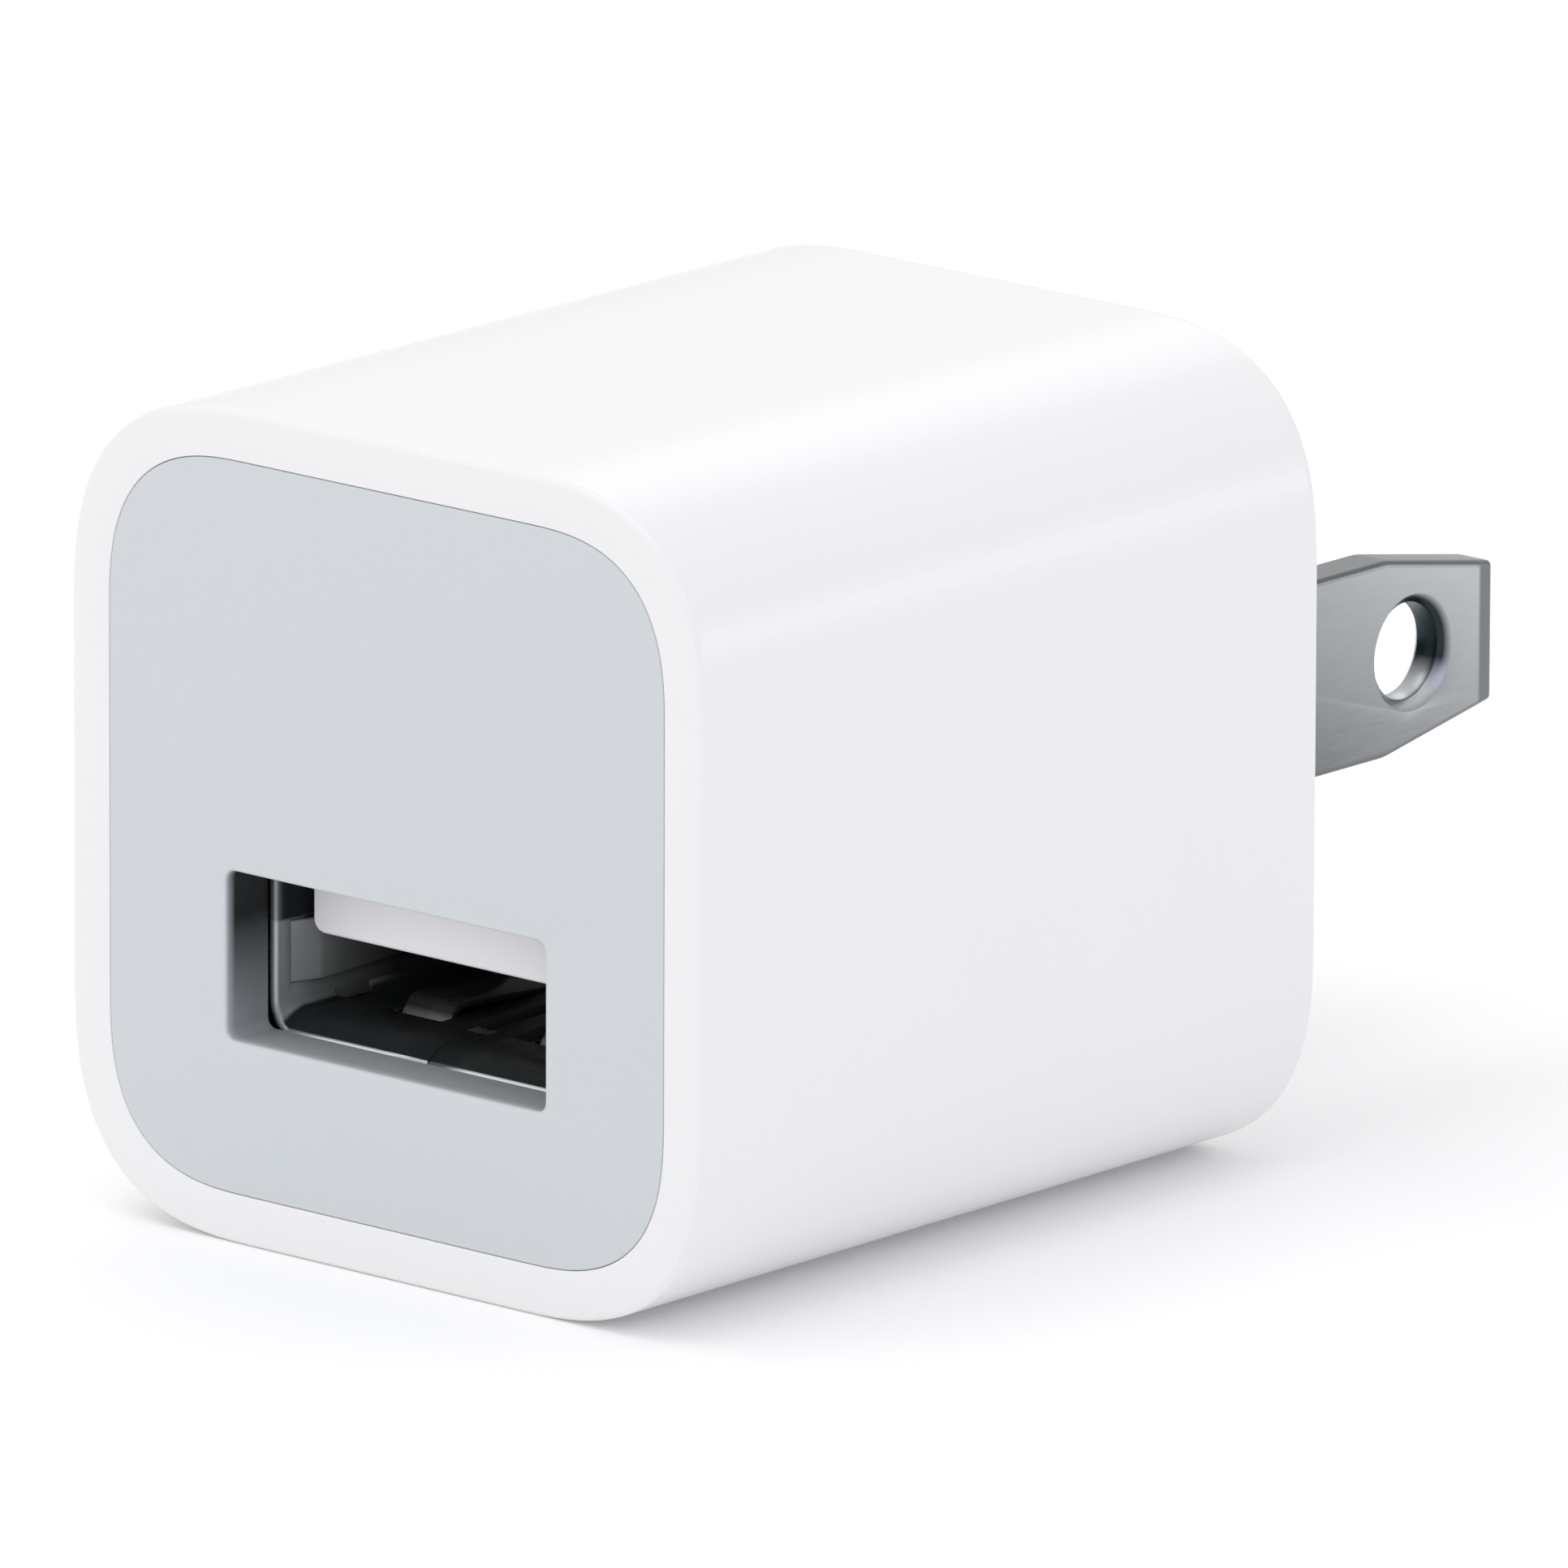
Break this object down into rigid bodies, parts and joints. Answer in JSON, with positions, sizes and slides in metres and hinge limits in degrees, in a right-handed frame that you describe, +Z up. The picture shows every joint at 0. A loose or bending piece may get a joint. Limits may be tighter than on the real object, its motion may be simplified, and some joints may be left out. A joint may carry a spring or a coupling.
{
  "type": "usb wall charger",
  "caption": "Compact cube-shaped wall charger: glossy white rounded casing, grey end plate with a socket for a plug, and two flat blades on its back.",
  "frame": {"origin": "centre of the casing's flat back face, midway between the two blades and at half the casing's height", "axes": "+Y out of the back face along the blades, -Y out of the socket, +Z up with the socket in the lower half of the front, +X to the right as seen from the socket side"},
  "size_m": [0.0264, 0.0455, 0.027],
  "materials": {
    "white_shell": "moulded white polycarbonate, glossy",
    "grey_plate": "fine matte light grey",
    "nickel": "nickel-plated brass, satin",
    "tin_sheet": "tin-plated sheet steel",
    "gold_contact": "gold flash",
    "brass_strip": "bare brass",
    "white_insulator": "moulded white nylon",
    "black_moulding": "black moulding compound",
    "board_green": "solder mask over glass epoxy",
    "ferrite": "sintered ferrite",
    "copper_wire": "enamelled copper",
    "yellow_tape": "polyester tape",
    "can_sleeve": "dark blue shrink sleeve",
    "bare_can": "bare aluminium can",
    "choke_sleeve": "dark green shrink sleeve",
    "resistor_coat": "cement coating",
    "blue_coat": "dipped epoxy",
    "chip_ceramic": "ceramic body"
  },
  "bodies": {
    "charger": {"outer_shell": "white_shell", "end_plate": "grey_plate", "blade_left": "nickel", "blade_right": "nickel", "blade_holder": "black_moulding", "contact_strip_left": "brass_strip", "contact_strip_right": "brass_strip", "usb_shield": "tin_sheet", "usb_insulator": "white_insulator", "contact_leads": "gold_contact", "main_board": "board_green", "output_board": "board_green", "link_header": "black_moulding", "link_pins": "gold_contact", "barrier_sheet": "yellow_tape", "transformer_core": "ferrite", "transformer_bobbin": "black_moulding", "transformer_pins": "tin_sheet", "transformer_winding": "copper_wire", "transformer_tape": "yellow_tape", "input_capacitor_round": "can_sleeve", "input_capacitor_rear": "can_sleeve", "input_capacitor_corner": "can_sleeve", "output_capacitor_large": "bare_can", "output_capacitor_small": "bare_can", "filter_inductor": "choke_sleeve", "fusible_resistor": "resistor_coat", "safety_capacitor": "blue_coat", "switch_transistor": "black_moulding", "bridge_rectifier": "black_moulding", "controller_chip": "black_moulding", "optocoupler": "black_moulding", "output_diode": "black_moulding", "output_inductor": "ferrite", "main_board_chip_parts": "chip_ceramic", "output_board_chip_parts": "chip_ceramic"},
    "contact_spring_1": {"usb_contact_1": "gold_contact"},
    "contact_spring_2": {"usb_contact_2": "gold_contact"},
    "contact_spring_3": {"usb_contact_3": "gold_contact"},
    "contact_spring_4": {"usb_contact_4": "gold_contact"},
    "finger_roof_left": {"shield_finger_roof_left": "tin_sheet"},
    "finger_roof_right": {"shield_finger_roof_right": "tin_sheet"},
    "finger_floor_left": {"shield_finger_floor_left": "tin_sheet"},
    "finger_floor_right": {"shield_finger_floor_right": "tin_sheet"},
    "finger_side_left": {"shield_finger_side_left": "tin_sheet"},
    "finger_side_right": {"shield_finger_side_right": "tin_sheet"}
  },
  "joints": [
    {"name": "contact_1_flex", "type": "hinge", "parent": "charger", "child": "contact_spring_1", "pos_m": [-0.0035, -0.01755, -0.0033], "axis": [-1, 0, 0], "range_deg": [0, 3.2], "stiffness_Nm_per_rad": 0.09},
    {"name": "contact_2_flex", "type": "hinge", "parent": "charger", "child": "contact_spring_2", "pos_m": [-0.001, -0.01755, -0.0033], "axis": [-1, 0, 0], "range_deg": [0, 3.2], "stiffness_Nm_per_rad": 0.09},
    {"name": "contact_3_flex", "type": "hinge", "parent": "charger", "child": "contact_spring_3", "pos_m": [0.001, -0.01755, -0.0033], "axis": [-1, 0, 0], "range_deg": [0, 3.2], "stiffness_Nm_per_rad": 0.09},
    {"name": "contact_4_flex", "type": "hinge", "parent": "charger", "child": "contact_spring_4", "pos_m": [0.0035, -0.01755, -0.0033], "axis": [-1, 0, 0], "range_deg": [0, 3.2], "stiffness_Nm_per_rad": 0.09},
    {"name": "finger_roof_left_flex", "type": "hinge", "parent": "charger", "child": "finger_roof_left", "pos_m": [-0.0029, -0.01855, -0.00109], "axis": [-1, 0, 0], "range_deg": [0, 2.6], "stiffness_Nm_per_rad": 0.12},
    {"name": "finger_roof_right_flex", "type": "hinge", "parent": "charger", "child": "finger_roof_right", "pos_m": [0.0029, -0.01855, -0.00109], "axis": [-1, 0, 0], "range_deg": [0, 2.6], "stiffness_Nm_per_rad": 0.12},
    {"name": "finger_floor_left_flex", "type": "hinge", "parent": "charger", "child": "finger_floor_left", "pos_m": [-0.0029, -0.01855, -0.00651], "axis": [1, 0, 0], "range_deg": [0, 2.8], "stiffness_Nm_per_rad": 0.12},
    {"name": "finger_floor_right_flex", "type": "hinge", "parent": "charger", "child": "finger_floor_right", "pos_m": [0.0029, -0.01855, -0.00651], "axis": [1, 0, 0], "range_deg": [0, 2.8], "stiffness_Nm_per_rad": 0.12},
    {"name": "finger_side_left_flex", "type": "hinge", "parent": "charger", "child": "finger_side_left", "pos_m": [-0.0064, -0.01955, -0.0045], "axis": [0, 0, -1], "range_deg": [0, 2.8], "stiffness_Nm_per_rad": 0.12},
    {"name": "finger_side_right_flex", "type": "hinge", "parent": "charger", "child": "finger_side_right", "pos_m": [0.0064, -0.01955, -0.0045], "axis": [0, 0, 1], "range_deg": [0, 2.8], "stiffness_Nm_per_rad": 0.12}
  ]
}
